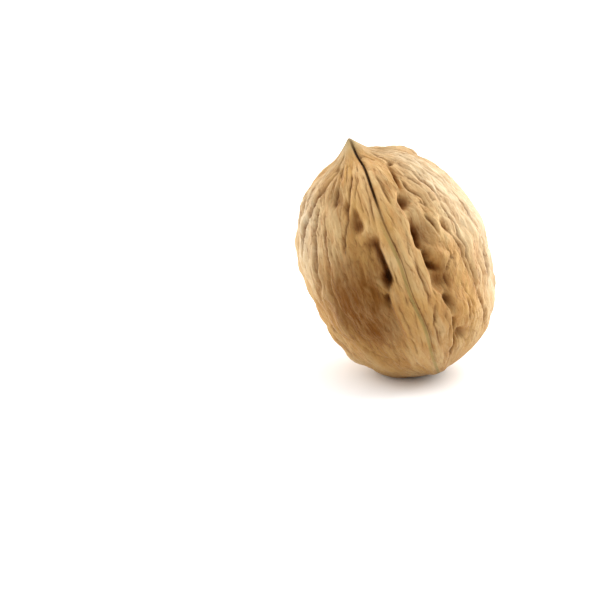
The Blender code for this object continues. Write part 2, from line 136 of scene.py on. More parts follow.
# Hollows and lumps that can be told apart: height up the shell in mm, turn round from the front of the
# seam in degrees, half length, half width and depth in mm (a lump's is negative), and slant in degrees. Then
# how steep they are, how far in they reach, in half sizes, and the share of them that is left on the band.
HOLLOWS = (
    (33.9, -16.6, 0.9, 0.5, 0.6, 0),
    (32.4, -17.4, 1.9, 1.3, 1.5, 8),
    (31.4, -16.4, 1.2, 1.2, 0.5, 0),
    (32.6, -13.0, 1.6, 0.5, -0.3, -8),
    (29.9, -13.8, 0.6, 1.2, -0.6, -20),
    (28.4, -11.4, 1.0, 1.3, 1.1, 0),
    (26.4, -12.4, 2.2, 1.7, 0.5, 0),
    (26.0, -9.2, 2.0, 0.45, 1.0, -3),
    (23.6, -9.2, 1.6, 0.45, 1.2, -3),
    (21.7, -10.8, 1.5, 0.8, 2.3, 0),
    (18.4, -14.6, 0.9, 0.6, 1.3, 0),
    (36.5, -31.5, 1.6, 1.3, 0.7, 14),
    (35.0, -22.5, 1.4, 0.7, 0.8, 10),
    (38.6, 37.0, 0.5, 0.55, 1.6, 0),
    (36.6, 26.5, 1.9, 0.5, 1.9, 16),
    (34.3, 17.6, 0.6, 0.6, 1.4, 0),
    (32.3, 18.6, 1.3, 1.6, 1.6, 0),
    (27.0, 15.4, 2.0, 0.8, 1.6, 8),
    (26.9, 20.5, 1.9, 2.0, 0.8, 0),
    (24.9, 14.8, 0.5, 0.6, 1.0, 0),
    (24.4, 19.0, 0.4, 1.4, -0.4, 30),
    (23.1, 16.6, 1.0, 0.7, 1.6, 10),
    (22.4, 23.4, 1.1, 2.2, -1.1, 35),
    (21.0, 18.6, 0.65, 1.7, 1.9, 42),
    (18.3, 19.6, 1.7, 1.4, 1.1, 0),
    (16.4, 19.0, 0.7, 0.9, -0.5, 0),
    (14.2, 20.3, 1.0, 0.6, 1.8, 5),
    (13.0, 25.5, 2.4, 2.2, -0.9, 0),
    (10.4, 20.0, 0.8, 0.5, 1.8, 0),
    (7.4, 26.5, 1.0, 1.2, 1.2, 0),
    (31.2, 26.0, 1.5, 1.3, -0.5, 0),
    (26.2, 27.0, 2.1, 1.2, -0.5, 12),
    (32.2, 42.0, 2.0, 1.5, -0.45, 15),
    (11.0, 31.5, 2.8, 2.1, -0.7, 0),
    (25.9, 37.8, 1.4, 0.42, 1.5, -15),
    (20.0, 43.5, 1.0, 0.5, 0.8, 0),
    (16.2, 47.5, 1.2, 0.5, 0.9, 0),
    (18.5, -38.0, 6.0, 5.0, -0.5, 0),
    (36.0, 93.0, 7.0, 7.0, 0.5, 0),
    (4.5, 72.0, 5.0, 6.0, -0.5, 0),
    (2.6, -98.0, 3.0, 5.0, -0.6, 0),
)
HOLLOW_STEEPNESS = 1.4
HOLLOW_REACH_INWARDS = 3
HOLLOW_ON_BAND = 0.1

# The back's hollows are drawn by a seed: two of three lie close to the seam. Each pair is the least and the
# most: degrees away from the back of the seam, height, half width and depth in mm, length over width, slant.
BACK_HOLLOWS = 24
BACK_SEED = 11
BACK_TURNS_BY_SEAM = (15, 22)
BACK_TURNS_ON_CHEEKS = (30, 95)
BACK_HEIGHTS = (6, 37)
BACK_HALF_WIDTHS = (0.8, 1.6)
BACK_DEPTHS_BY_SEAM = (0.8, 1.6)
BACK_DEPTHS_ON_CHEEKS = (0.4, 0.8)
BACK_STRETCH = (1.1, 1.7)
BACK_SLANTS = (-20, 20)

# The longest creases between ribs: half width and depth in mm, then points of height and turn.
CREASES = (
    (0.6, 0.8, (41.1, -42), (40.3, -45), (38.4, -52), (35.9, -61), (33, -70), (25, -76)),
    (0.5, 0.8, (36.4, -50), (34.6, -53), (32.6, -57), (29.5, -58), (20, -60)),
    (0.4, 0.5, (35, -42), (33.8, -44), (31, -45), (24, -48)),
    (0.45, 0.5, (40.8, -28), (39, -26), (37.9, -31), (36.4, -34), (34.6, -33)),
    (0.35, 0.5, (40.4, -10), (38.6, -13), (36.6, -18), (35, -23), (32.9, -25), (29.5, -30), (26.9, -35)),
    (0.3, 0.35, (39.3, 3), (36.7, -2), (33.7, -4), (30.8, -6), (28.8, -7)),
    (0.4, 0.5, (41, 44), (40, 37), (38.8, 37)),
    (0.35, 0.4, (36, 30), (33.6, 31), (31.6, 33), (29.6, 33)),
    (0.35, 0.5, (24.6, 40), (22, 42), (19, 42), (15.5, 43)),
    (0.4, 0.5, (30.5, 28), (27.7, 30), (25, 30)),
    (0.4, 0.6, (38, 44), (33, 46), (28.5, 44), (24, 47), (18, 46), (15, 47), (12, 46)),
    (0.4, 0.5, (39, 62), (36, 62), (33.5, 56)),
    (0.5, 0.6, (37.5, 70), (33, 68), (27, 66), (22, 70), (16, 63), (9, 66)),
    (0.35, 0.5, (21.5, 34), (18.5, 25), (16, 24)),
    (0.35, 0.5, (13.5, 34), (9, 34)),
    (0.4, 0.6, (13.5, 47), (8, 54), (5, 60)),
    (0.4, 0.7, (11, 21), (7.6, 20.5), (5.5, 18), (2.8, 12)),
    (0.35, 0.35, (39, 14), (37, 11), (34.7, 9), (32, 10)),
    (0.3, 0.3, (24, 9), (20, 8), (16.5, 8)),
    (0.35, 0.4, (16, 11), (12, 6), (7, 6)),
    (0.3, 0.3, (23.4, -5), (16, -4)),
)

# Finer creases of the skin, in the same form.
FINE_CREASES = (
    (0.25, 0.2, (40.2, -23), (38.7, -24), (37.3, -27)),
    (0.25, 0.25, (40.8, -62), (40.1, -60), (38.4, -66), (36, -70)),
    (0.3, 0.3, (39.8, -80), (38.7, -74), (36.2, -74), (30, -80)),
    (0.2, 0.2, (39.4, -6), (37.6, -9), (34.6, -10), (32.6, -9)),
    (0.2, 0.2, (34.4, -7), (32.3, -8), (30.3, -9)),
    (0.25, 0.25, (40.8, 1), (38, -6), (36, -13), (34, -15)),
    (0.2, 0.2, (28.6, 10), (26.3, 9), (24.9, 7), (23.8, 7)),
    (0.25, 0.25, (23, 7), (20.3, 8), (18.4, 9), (14.8, 7)),
    (0.2, 0.2, (21.3, 12), (20, 13), (17.7, 13), (15.4, 12)),
    (0.2, 0.2, (25, -5), (23.1, -5), (20.8, -4)),
    (0.2, 0.2, (27.8, 4), (26.2, 3), (22, 4), (19, 3)),
    (0.2, 0.2, (34, 4), (31, 5), (28, 6)),
    (0.25, 0.25, (19, -3), (16.5, -2), (13.7, -4), (10.4, -5), (7.3, -6)),
    (0.25, 0.25, (18.7, -10), (15.9, -9), (13, -10), (10.1, -11), (5, -12)),
    (0.25, 0.25, (15.7, 9), (13.6, 7), (11.1, 8), (8.1, 7)),
    (0.25, 0.25, (14.9, 16), (12.7, 15), (10.1, 16), (7.4, 13)),
    (0.25, 0.35, (24.8, 39), (23.3, 41), (20.4, 43), (18.6, 43)),
    (0.2, 0.25, (11.1, 51), (9.2, 52), (6.7, 58)),
    (0.25, 0.25, (22.4, 36), (20.9, 36), (20, 32)),
    (0.3, 0.3, (32, 25), (30.5, 32), (29.2, 33), (27.5, 34)),
    (0.3, 0.3, (33, 52), (29, 54), (26, 58), (22, 57)),
    (0.25, 0.25, (24, 27), (23.8, 31), (21.5, 33), (19.6, 29)),
    (0.25, 0.25, (17, 33), (14, 36), (11, 40), (8, 41)),
    (0.25, 0.3, (36.5, 36), (34, 40), (31, 39), (29, 41)),
    (0.25, 0.25, (41.4, -27), (41, -46), (40.4, -52), (39, -58)),
    (0.2, 0.25, (41.1, -18), (40.3, -27), (39.6, -34), (38.4, -34)),
    (0.2, 0.25, (40.8, -15), (39.8, -22), (38, -26)),
    (0.2, 0.2, (40.5, -11), (40.1, -18), (39.4, -19), (37.5, -21)),
    (0.2, 0.2, (39.7, -8), (37.9, -14), (36, -16)),
    (0.25, 0.3, (41.1, 11), (40.4, 20), (39.6, 27)),
    (0.2, 0.25, (40.9, 9), (38.7, 9), (37.3, 13)),
)

# How the creases are drawn: the share of their half width that is kept, the straight steps from mark to
# mark, the share of their length over which they run out, their swollen sides as shares of depth and half
# width, and how far they wobble, in mm, over which length.
CREASE_SHARPNESS = 0.7
STEPS_PER_MARK = 4
RUN_OUT = 0.16
SIDE_SWELL = 0.4
SIDE_REACH = 2.6
WOBBLE = 0.3
WOBBLE_LENGTH = 2.2
WOBBLE_SEEDS = (31, 32, 33)

# Brown stains and bleached patches: height in mm, turn in degrees, half length in mm, half turn in degrees,
# and strength. The first stain is a painted shadow over the lower left; the other stains are real stains.
STAINS_AND_SHADOW = (
    # A painted shadow over the lower left belly.
    (19, -39, 9, 23, 1.1),
    (23, -20, 6, 10, 0.35),
    (12, -28, 6, 16, 0.35),
    (27, 20, 3, 7, 0.3),
    (8, 12, 8, 22, 0.3),
    (36.5, -33, 3, 8, 0.5),
    (19, 22, 6, 9, 0.5),
    (8, 160, 9, 40, 0.5),
    (24, -150, 9, 25, 0.35),
    (30, 115, 8, 25, 0.3),
)
# The first four, on the cheeks, are a painted rim highlight; the last is a bleached patch.
BLEACHED_AND_RIM_HIGHLIGHT = (
    (20, 82, 19, 24, 1.0),
    (36, 58, 6, 28, 0.45),
    (28, 52, 8, 14, 0.35),
    (33, -74, 8, 20, 0.9),
    (20, -170, 14, 30, 0.5),
)

# Long ribs, with a valley wherever a stretched and wavering noise crosses nought: noise cells over the
# radius, a cell's length up the shell in mm, depth in mm, the valley's width as a share of the noise's
# swing, and seed. The last two are finer than the relief of the frame's solid. The deepest two are calmer
# beside the front of the seam, where creases are drawn one by one.
RIBS = (
    (4.6, 10.0, 0.7, 0.18, 3),
    (9.5, 7.0, 0.32, 0.13, 4),
    (15, 4.0, 0.2, 0.12, 5),
    (20, 1.9, 0.16, 0.12, 6),
    (34, 1.2, 0.07, 0.14, 7),
)
RIB_LIFT = 0.4
RIB_STRENGTH = 0.7
RIB_STRENGTH_VARIES = 0.6
RIB_STRENGTH_CELLS = (2, 10, 40)
CALM_FRONT = 0.45
CALMED_RIB_DEPTH = 0.3
CALM_FRONT_TURN = 1.1
RIBS_OFF_SEAM = (1, 5)
RIBS_ON_BAND = 0.2
RIBS_OFF_POLES = (0, 6)
RIBS_OFF_BASE = (1, 6)

# Other noises, each by its cells over the radius, a cell's length up the shell in mm, and its seed: the
# ribs' waver, which bends them by radians of turn and mm of height, and their flutter, then the slow swell
# and the lumps, in mm. The gain brings every noise to about -1 to 1.
WAVER_CELLS = (1.6, 14, 21)
WAVER_BEND = 0.2
WAVER_RISE = 3
FLUTTER_CELLS = (6, 3.2, 27)
FLUTTER_BEND = 0.035
SWELL_CELLS = (2.6, 9, 23)
SWELL = 0.5
LUMP_CELLS = (5.6, 3.8, 29)
LUMPS = 0.54
NOISE_GAIN = 1.6

# What the finish reads of the shape, for its painted shade: a valley's shade, which grows from the least
# with its depth in mm, a rib's most, the share that shows on the band, the shade for each mm of a hollow and
# of a moat; the heights in mm between which a rib counts among the crests with the painted highlight, and
# the furthest distance from the seam that is noted.
LEAST_SHADE = 0.4
MOST_RIB_SHADE = 0.75
SHADE_ON_BAND = 0.3
HOLLOW_SHADE = 0.4
MOAT_SHADE = 0.3
CREST_HIGHLIGHT_HEIGHTS = (0.1, 0.7)
FURTHEST_ACROSS = 9

# Noises of the finish, over a skin laid out in mm: cells for each mm, detail, roughness and distortion. The
# stretched ones have their cells for each mm along each axis, the last one up the shell.
PATCHES = (0.13, 3.0, 0.6)
STREAKS = (1.0, 5.0, 0.65, 0.8)
STREAK_STRETCH = (1.0, 1.0, 0.42)
MOTTLE = (0.8, 4.0, 0.65)
HAIRS = (1.0, 3.0, 0.5, 0.5)
HAIR_STRETCH = (0.55, 0.55, 0.14)
HAIR_HALF_WIDTH = 0.018
WRINKLES = (1.0, 5.0, 0.6, 0.8)
WRINKLE_STRETCH = (1.6, 1.6, 0.8)
PORES = (5.0, 2.0, 0.5)

# How each mark comes in: over which range of what it follows, and its share at the range's start and end.
# It follows its own noise or attribute, or else what its name says.
STRAW_SHOWS = (0.4, 0.62, 0.0, 1.0)
ROSY_SHOWS = (0.4, 0.65, 0.0, 0.6)
MOTTLE_SHOWS = (0.55, 0.75, 0.0, 0.35)
BLEACH_AND_RIM_HIGHLIGHT_IN_STREAKS = (0.35, 0.65, 0.9, 0.4)
STAIN_AND_SHADOW_IN_STREAKS = (0.35, 0.6, 0.75, 1.0)
HOLLOW_SHADE_SHOWS = (0.15, 0.75, 0.0, 0.92)
DEEPEST_SHADE_SHOWS = (0.75, 1.0, 0.0, 0.8)
CREASE_SHADE_SHOWS = (0.3, 0.85, 0.0, 0.85)
CREASE_SHADE_IN_MOTTLE = (0.35, 0.55, 0.5, 1.0)
HAIRS_IN_STREAKS = (0.4, 0.6, 0.15, 1.0)
THREAD_SHOWS = (0.1, 0.4, 1.0, 0.0)
THREAD_BY_HEIGHT = (27.0, 33.0, 1.0, 0.0)
TIP_SHOWS = (0.2, 0.6, 0.0, 0.75)
GROOVE_SHADE_SHOWS = (0.6, 1.0, 1.0, 0.0)
GROOVE_SHADE_BY_HEIGHT = (32.5, 35.0, 0.5, 1.0)
GROOVE_SHADE_OFF_BASE = (3.0, 8.0, 0.0, 1.0)
GROOVE_SHADE_ON_TIP = (0.5, 0.9, 1.0, 0.3)

# The rest of the finish: plain shares, the first for the painted highlight on the rib tops, the half width
# by height of the groove's painted shade and the olive thread's place left of the seam, all in mm, how the
# roughness follows the streaks, and each bump's strength and height.
CREST_HIGHLIGHT_SHARE = 0.55
HAIR_SHARE = 0.5
THREAD_SHARE = 0.7
GROOVE_SHADE_WIDENS = (24.0, 36.0, 0.11, 0.26)
THREAD_BESIDE_SEAM = 0.45
ROUGHENS = (0.3, 0.7)
ROUGHNESS_VARIES = 0.14
SHEEN_ROUGHNESS = 0.15
HAIR_BUMP = (0.6, 0.15 * MM)
WRINKLE_BUMP = (1.0, 0.35 * MM)
PORE_BUMP = (0.3, 0.05 * MM)

# The studio, in metres: the softboxes' places and widths, and the directions between which the light from
# all round grows, from -1 in front to 1 behind.
KEY_PLACE = (0.28, 0.06, 0.42)
KEY_WIDTH = 0.35
RIGHT_PLACE = (0.48, 0.26, 0.2)
LEFT_PLACE = (-0.48, 0.26, 0.2)
SIDE_WIDTH = 0.3
SKY_BRIGHTENS = (-0.9, 0.0)
FLOOR_ROUGHNESS = 0.9

# The photograph's width, and the pixel where it shows the middle of the walnut's body; the camera's sensor
# in millimetres and the nearest distance that it sees, in metres.
FRAME_PIXELS = 600
HEART_PIXEL = (393.9, 262.5)
SENSOR_WIDTH = 36.0
NEAREST_SEEN = 0.01


def smooth_step(value, low, high):
    """0 below low and 1 above high, with an even slope between."""
    share = np.clip((value - low) / (high - low), 0, 1)
    return share * share * (3 - 2 * share)


def blend(first, second, share):
    return first * (1 - share) + second * share


def bell(value, width):
    return np.exp(-np.square(value / width))


def edge_at(height, outline):
    """The distance at each height from a short list of heights and distances, rounded off between them."""
    heights, distances = np.array(outline, float).T
    place = np.clip(np.searchsorted(heights, height, side="right") - 1, 0, len(heights) - 2)
    share = smooth_step(height, heights[place], heights[place + 1])
    return blend(distances[place], distances[place + 1], share)


def gradient_noise(points, seed):
    """Smooth noise, about -1 to 1: each whole-number corner has a random slope, blended across its cell."""
    draw = np.random.default_rng(seed)
    order = draw.permutation(256)
    slopes = draw.normal(size=(256, 3))
    slopes /= np.linalg.norm(slopes, axis=1, keepdims=True)
    cell = np.floor(points).astype(int)
    inside = points - cell
    fade = inside**3 * (inside * (inside * 6 - 15) + 10)
    total = 0
    for corner in itertools.product((0, 1), repeat=3):
        at = cell + corner
        pick = order[at[..., 0] & 255]
        pick = order[(pick + at[..., 1]) & 255]
        pick = order[(pick + at[..., 2]) & 255]
        weight = np.prod(np.where(corner, fade, 1 - fade), axis=-1)
        total = total + weight * (slopes[pick] * (inside - corner)).sum(-1)
    return NOISE_GAIN * total


def noise_round_shell(turn, height, cells, length, seed):
    """Noise that closes on itself round the shell, stretched up it."""
    ring = np.stack([np.cos(turn), np.sin(turn)], -1) * cells
    return gradient_noise(np.concatenate([ring, height[..., None] / length], -1), seed)


class ShellSurface:
    """The walnut's shell as a function of two angles: polar, from 0 at the tip to pi at the base, and turn,
    from 0 at the front of the seam. Lengths are in millimetres and the axis is upright on Z."""

    def __init__(self, form):
        self.length = form.body_length / MM
        self.side = form.side_radius / MM
        self.front = form.front_radius / MM
        self.tip_rise = form.tip_rise / MM
        self.band_rise = form.band_rise / MM
        self.groove_width = form.groove_width / MM
        self.groove_depth = form.groove_depth / MM
        self.ribbing = form.ribbing

    def plain_body(self, polar, turn):
        """The body without relief, and the way out from it: height is half the length times one plus the
        cosine of polar, raised to a power that squares it off, and the radius is an ellipse's, times the
        sine of polar raised to that power."""
        power = 2 / ROUNDNESS
        spread = np.abs(np.sin(polar)) ** power
        half = self.length / 2
        height = half + half * np.sign(np.cos(polar)) * np.abs(np.cos(polar)) ** power
        radius = 1 / np.hypot(np.cos(turn) / self.front, np.sin(turn) / self.side)
        radius = radius * spread * (1 + LOPSIDED * np.sin(turn))
        radius = radius * (1 - BASE_TAPER * smooth_step(height, *BASE_TAPER_HEIGHTS))
        points = np.stack([radius * np.sin(turn), -radius * np.cos(turn), height], -1)
        outward = (points - [0, 0, half]) / np.square([self.side, self.front, half])
        return points, outward / np.linalg.norm(outward, axis=-1, keepdims=True)

    def point_on_body(self, height, turn):
        """The point of the plain body at a height in mm and a turn in degrees, and the way out from it."""
        rise = np.clip(2 * np.asarray(height) / self.length - 1, -1, 1)
        polar = np.arccos(np.sign(rise) * np.abs(rise) ** (ROUNDNESS / 2))
        return self.plain_body(polar, np.radians(turn))

    def seam_band(self, points):
        """The raised band over both seams: a flat top between two steep edges, a moat at its foot that dies
        away outwards, a groove on the seam and a rounded lip on each side of it. Gives the relief, how far
        each point is on top of the band, the moat's depth, and the distance across from the seam."""
        height = points[..., 2]
        reach = np.hypot(points[..., 0], points[..., 1])
        across = (points[..., 0] - seam_line(points)) * np.sign(-points[..., 1])
        left, right = edge_at(height, BAND_LEFT), edge_at(height, BAND_RIGHT)
        left_edge = blend(BAND_EDGE, SOFT_LEFT_EDGE, smooth_step(height, *LEFT_EDGE_SOFTENS))
        right_edge = blend(BAND_EDGE, SOFT_RIGHT_EDGE, smooth_step(height, *RIGHT_EDGE_SOFTENS))
        top = falling_edge(-across - left, left_edge) * falling_edge(across - right, right_edge)
        off_ends = smooth_step(height, *BAND_RISES_FROM_BASE)
        off_ends = off_ends * smooth_step(self.length - height, *BAND_RISES_FROM_TIP)
        moat = foot_of_band(across - right) * edge_at(height, RIGHT_MOAT)
        moat = moat + foot_of_band(-across - left) * edge_at(height, LEFT_MOAT)
        groove = bell(across, self.groove_width) * smooth_step(height, *GROOVE_SETS_IN)
        groove = groove * smooth_step(reach, *GROOVE_OFF_POLES)
        groove = groove * blend(CLOSED_GROOVE_SHARE, 1, smooth_step(height, *GROOVE_OPENS))
        lips = bell(across - 2 * LIP_WIDTH, LIP_WIDTH) + bell(across + 2 * LIP_WIDTH, LIP_WIDTH)
        lips = LIP_RISE * lips * smooth_step(height, *LIPS_SET_IN) * smooth_step(reach, *LIPS_OFF_POLES)
        band = blend(BAND_RISE_AT_ENDS, self.band_rise, off_ends) * top - moat
        return band + lips - self.groove_depth * groove, top, moat, across

    def hollow_at(self, points, hollow):
        """One hollow or lump: an oval dent, its middle and its own directions taken from the plain body. It
        ends inwards too, so that it does not show on the far side."""
        height, turn, half_length, half_width, depth, slant = hollow
        middle, outward = self.point_on_body(height, turn)
        turn, slant = math.radians(turn), math.radians(slant)
        sideways = np.array([math.cos(turn), math.sin(turn), 0])
        upward = np.cross(outward, sideways)
        along = math.cos(slant) * upward + math.sin(slant) * sideways
        beside = math.cos(slant) * sideways - math.sin(slant) * upward
        away = points - middle
        inward = away @ outward / (HOLLOW_REACH_INWARDS * max(half_length, half_width))
        oval = np.square(away @ along / half_length) + np.square(away @ beside / half_width)
        return -depth * np.exp(-((oval + np.square(inward)) ** HOLLOW_STEEPNESS))

    def crease_at(self, points, crease):
        """One crease: a valley along the line through its marks, running out at both ends, with its sides a
        little swollen. The line is a chain of short straight steps on the body, and each point takes its
        distance from the nearest of them. Gives the relief and the valley's shade, from 0 to 1."""
        half_width, depth, *marks = crease
        half_width = CREASE_SHARPNESS * half_width
        heights, turns = np.array(marks, float).T
        steps = np.linspace(0, len(marks) - 1, STEPS_PER_MARK * (len(marks) - 1) + 1)
        path, _ = self.point_on_body(*(np.interp(steps, range(len(marks)), row) for row in (heights, turns)))
        relief, shade = np.zeros(len(points)), np.zeros(len(points))
        reach = 2 * SIDE_REACH * half_width
        near = np.all((points > path.min(0) - reach) & (points < path.max(0) + reach), axis=-1)
        spots = points[near]
        apart, strength = np.full(len(spots), np.inf), np.zeros(len(spots))
        for number, (start, end) in enumerate(zip(path[:-1], path[1:])):
            step = end - start
            along = np.clip((spots - start) @ step / (step @ step), 0, 1)
            distance = np.linalg.norm(spots - start - along[:, None] * step, axis=-1)
            gone = (number + along) / (len(path) - 1)
            fade = np.minimum(1, np.minimum(gone, 1 - gone) / RUN_OUT)
            strength = np.where(distance < apart, fade, strength)
            apart = np.minimum(distance, apart)
        valley = strength * bell(apart, half_width)
        swollen = strength * SIDE_SWELL * bell(apart, SIDE_REACH * half_width)
        relief[near] = depth * (swollen - (1 + SIDE_SWELL) * valley)
        shade[near] = valley * min(1, LEAST_SHADE + depth)
        return relief, shade

    def ribs(self, turn, height):
        """Long ribs between valleys, on a slow swell and small lumps, and how shaded each point is by the
        valley that it lies in."""
        waver = noise_round_shell(turn, height, *WAVER_CELLS)
        flutter = noise_round_shell(turn, height, *FLUTTER_CELLS)
        bent_turn = turn + WAVER_BEND * waver + FLUTTER_BEND * flutter
        relief = SWELL * noise_round_shell(turn, height, *SWELL_CELLS)
        relief = relief + LUMPS * noise_round_shell(bent_turn, height, *LUMP_CELLS)
        calm = 1 - CALM_FRONT * bell(turn, CALM_FRONT_TURN)
        *strength_cells, first_seed = RIB_STRENGTH_CELLS
        shade = 0
        for cells, length, depth, share, seed in RIBS:
            wave = noise_round_shell(bent_turn, height + WAVER_RISE * waver, cells, length, seed)
            varies = noise_round_shell(turn, height, *strength_cells, first_seed + seed)
            strength = RIB_STRENGTH + RIB_STRENGTH_VARIES * varies
            strength = strength * (calm if depth > CALMED_RIB_DEPTH else 1)
            valley = np.exp(-np.abs(wave) / share) * strength
            relief = relief - self.ribbing * depth * (valley - RIB_LIFT * strength)
            shade = np.maximum(shade, valley * min(MOST_RIB_SHADE, LEAST_SHADE + depth))
        return relief, shade

    def beak(self, points):
        """How far up the beak each point is, from 0 to 1: an oval cone with a rounded top."""
        from_tip = np.hypot(points[..., 0] / TIP_HALF_SIZES[0], points[..., 1] / TIP_HALF_SIZES[1])
        return np.exp(TIP_BLUNTNESS - np.hypot(from_tip, TIP_BLUNTNESS)) * (points[..., 2] > self.length / 2)

    def finished(self, polar, turn):
        """The finished shell's points, what its finish reads of each by name, and their places on the skin
        for its grain. Height and across are in mm, and the others are shares."""
        points, outward = self.plain_body(polar, turn)
        height, radius = points[..., 2], np.hypot(points[..., 0], points[..., 1])
        front = bell(turn, SEAM_PULL_TURN)
        back = bell(np.abs(turn) - np.pi, SEAM_PULL_TURN)
        turn = turn + seam_line(points) / np.maximum(radius, SEAM_PULL_RADIUS) * (front - back)
        points, outward = self.plain_body(polar, turn)
        relief, on_band, moat, across = self.seam_band(points)
        off_band = smooth_step(np.abs(across), *RIBS_OFF_SEAM)
        off_ends = smooth_step(radius, *RIBS_OFF_POLES) * smooth_step(height, *RIBS_OFF_BASE)
        ribs, shade = self.ribs(turn, height)
        relief = relief + ribs * blend(RIBS_ON_BAND, 1, off_band) * off_ends
        shade = shade * blend(SHADE_ON_BAND, 1, off_band) * off_ends
        sunk = np.zeros_like(height)
        for hollow in (*HOLLOWS, *back_hollows()):
            sunk = sunk + self.hollow_at(points, hollow) * blend(1, HOLLOW_ON_BAND, on_band)
        relief = relief + sunk
        wobbled = points + WOBBLE * wobble(points / WOBBLE_LENGTH)
        for crease in (*CREASES, *FINE_CREASES):
            valley, crease_shade = self.crease_at(wobbled, crease)
            relief = relief + valley
            shade = np.maximum(shade, crease_shade)
        shade = np.clip(shade, 0, 1)
        relief = relief * smooth_step(radius, 0, POLE_RADIUS)
        upper = height > self.length / 2
        relief = relief - SHOULDER_DIP * bell(radius - SHOULDER_REACH, SHOULDER_WIDTH) * upper
        tip = self.beak(points)
        around = self.side * np.stack([np.sin(turn), -np.cos(turn)], -1)
        grain = np.concatenate([around, self.length * (0.5 - polar / np.pi)[..., None]], -1)
        points = points + outward * relief[..., None]
        points[..., 2] += self.tip_rise * tip + BASE_SCAR * bell(radius, BASE_SCAR_RADIUS) * ~upper
        points[..., 0] += TIP_LEANING * bell(radius, TIP_LEANING_RADIUS) * upper
        read_by_finish = {
            # Painted shade for the hollows and the moats.
            "hollow": np.clip(MOAT_SHADE * moat - HOLLOW_SHADE * sunk, 0, 1),
            # Painted shade for the creases and the ribs' valleys.
            "crease": shade,
            # A painted highlight on the ribs' tops.
            "crest_highlight": smooth_step(ribs, *CREST_HIGHLIGHT_HEIGHTS) * off_ends * (1 - shade),
            "across": np.clip(across, -FURTHEST_ACROSS, FURTHEST_ACROSS),
            "height": height,
            "tip": np.clip(tip, 0, 1),
            # Stains, the first of them a painted shadow over the lower left.
            "stain_and_shadow": patches_on_skin(height, turn, STAINS_AND_SHADOW),
            # Bleached patches, most of them a painted rim highlight on the cheeks.
            "bleach_and_rim_highlight": patches_on_skin(height, turn, BLEACHED_AND_RIM_HIGHLIGHT),
        }
        return points, read_by_finish, grain


def seam_line(points):
    """How far the seam strays sideways at each point's height, and on the front of the tip, by its reach."""
    reach = np.hypot(points[..., 0], points[..., 1])
    outer, inner = SEAM_BY_TIP_REACHES
    by_tip = smooth_step(reach, *outer) * smooth_step(reach, *inner)
    by_tip = by_tip * (points[..., 1] < 0) * (points[..., 2] > SEAM_BY_TIP_ABOVE)
    sway = SEAM_SWAY * np.cos(2 * np.pi * points[..., 2] / SEAM_SWAY_LENGTH)
    return SEAM_SHIFT + sway + SEAM_BY_TIP * by_tip


def falling_edge(beyond, width):
    """1 well before an edge, 0 well beyond it, and a smooth slope of that width across it."""
    return 0.5 - 0.5 * np.tanh(beyond / (2 * width))


def foot_of_band(beyond):
    """The moat's share of its depth: steep at the foot of the band, then dying away from it."""
    return smooth_step(beyond, *MOAT_FOOT) * np.exp(-np.maximum(beyond, 0) / MOAT_WIDTH)


def wobble(points):
    """Three independent noises at each point, as a small shift."""
    return np.stack([gradient_noise(points, seed) for seed in WOBBLE_SEEDS], -1)


def patches_on_skin(height, turn, patches):
    """Soft patches on the skin, each an oval bell over height and turn, added up to at most 1."""
    found = 0
    for middle, side, half_length, half_turn, strength in patches:
        away = np.angle(np.exp(1j * (turn - math.radians(side))))
        oval = np.square((height - middle) / half_length) + np.square(away / math.radians(half_turn))
        found = found + strength * np.exp(-oval)
    return np.clip(found, 0, 1)


def back_hollows():
    """Hollows on the sides away from the front, drawn by a seed: most lie along the seam at the back."""
    draw = np.random.default_rng(BACK_SEED)
    lowest, highest = BACK_HEIGHTS
    found = []
    for number in range(BACK_HOLLOWS):
        by_seam = number % 3 > 0
        side = 1 if number % 2 else -1
        turn = 180 + side * draw.uniform(*(BACK_TURNS_BY_SEAM if by_seam else BACK_TURNS_ON_CHEEKS))
        height = lowest + (highest - lowest) * (number + draw.uniform(0, 1)) / BACK_HOLLOWS
        width = draw.uniform(*BACK_HALF_WIDTHS)
        depth = draw.uniform(*(BACK_DEPTHS_BY_SEAM if by_seam else BACK_DEPTHS_ON_CHEEKS))
        length = width * draw.uniform(*BACK_STRETCH)
        found.append((height, turn, length, width, depth, draw.uniform(*BACK_SLANTS)))
    return found


def standing_matrix(body_length, heart_height):
    """From the upright shell in millimetres to the leaning walnut in metres, middle above the origin."""
    turned = Matrix.Identity(4)
    for degrees, axis in ((LEAN_LEFT, "Y"), (LEAN_BACK, "X"), (TURN, "Z")):
        turned = turned @ Matrix.Rotation(math.radians(degrees), 4, axis)
    middle = Matrix.Translation((0, 0, -body_length / 2 / MM))
    return Matrix.Translation((0, 0, heart_height)) @ Matrix.Scale(MM, 4) @ turned @ middle


def grid_faces(columns, rings):
    """Faces of a closed grid with a pole at each end: rings of four-cornered faces between two fans. Point 0
    is the first pole, then come the rings, column by column, and the last point is the other pole."""
    column, ring = np.meshgrid(np.arange(columns), np.arange(rings - 1), indexing="ij")
    beside = (column + 1) % columns
    here, there = 1 + column * rings + ring, 1 + beside * rings + ring
    quads = np.stack([here, here + 1, there + 1, there], -1).reshape(-1, 4)
    first = 1 + np.arange(columns) * rings
    second = np.roll(first, -1)
    fan = np.stack([np.zeros(columns, int), first, second], -1)
    last = np.full(columns, 1 + columns * rings)
    end_fan = np.stack([last, second + rings - 1, first + rings - 1], -1)
    return fan.tolist() + quads.tolist() + end_fan.tolist()


